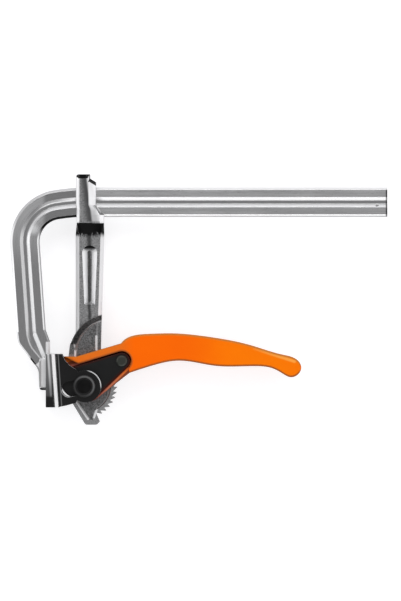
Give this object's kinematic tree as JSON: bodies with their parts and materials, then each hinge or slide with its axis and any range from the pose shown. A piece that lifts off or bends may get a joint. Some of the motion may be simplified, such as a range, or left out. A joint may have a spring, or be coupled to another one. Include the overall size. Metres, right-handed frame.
{
  "type": "quick release bar clamp",
  "caption": "All-steel bar clamp with a bent profile bar, a sliding arm, and a lever with a ratchet that closes the pressure shoe.",
  "frame": {"origin": "middle of the fixed jaw's clamping face, on the clamp's middle plane; the clamp lies on its back", "axes": "+X along the bar to its free end, +Y from the jaws to the bar, +Z out of the front face"},
  "size_m": [0.2637, 0.175, 0.0318],
  "materials": {
    "rail_steel": "drawn and polished",
    "forged_steel": "forged, satin grey",
    "pin_steel": "blackened",
    "washer_steel": "zinc plated",
    "black_steel": "black, glossy",
    "orange_coating": "orange powder coating, semi-gloss",
    "rivet_steel": "blackened",
    "plain_steel": "bare steel",
    "spring_steel": "drawn wire"
  },
  "bodies": {
    "rail": {"profile_rail": "rail_steel"},
    "arm": {"sliding_arm": "forged_steel", "main_pin": "pin_steel", "pin_washer_front": "washer_steel", "pin_washer_rear": "washer_steel"},
    "lever": {"lever_handle": "orange_coating", "cam_plate_front": "black_steel", "cam_plate_rear": "black_steel", "handle_rivet": "rivet_steel", "rivet_sleeve": "plain_steel", "pawl_pin": "plain_steel", "pawl_spring": "spring_steel"},
    "shoe": {"pressure_shoe": "black_steel"},
    "pawl": {"ratchet_pawl": "plain_steel"}
  },
  "joints": [
    {"name": "arm_slide", "type": "slide", "parent": "rail", "child": "arm", "axis": [1, 0, 0], "range_m": [0, 0.189]},
    {"name": "lever_turn", "type": "hinge", "parent": "arm", "child": "lever", "pos_m": [0.0242, -0.0105, 0], "axis": [0, 0, 1], "range_deg": [-55.98, 0]},
    {"name": "shoe_slide", "type": "slide", "parent": "arm", "child": "shoe", "axis": [1, 0, 0], "range_m": [0, 0.0057]},
    {"name": "pawl_turn", "type": "hinge", "parent": "lever", "child": "pawl", "pos_m": [0.04339, 0.00733, 0], "axis": [0, 0, 1], "range_deg": [-9, 0], "stiffness_Nm_per_rad": 0.02}
  ],
  "couplings": [
    {"joint": "shoe_slide", "follows": "lever_turn", "m_per_rad": -0.0058}
  ]
}
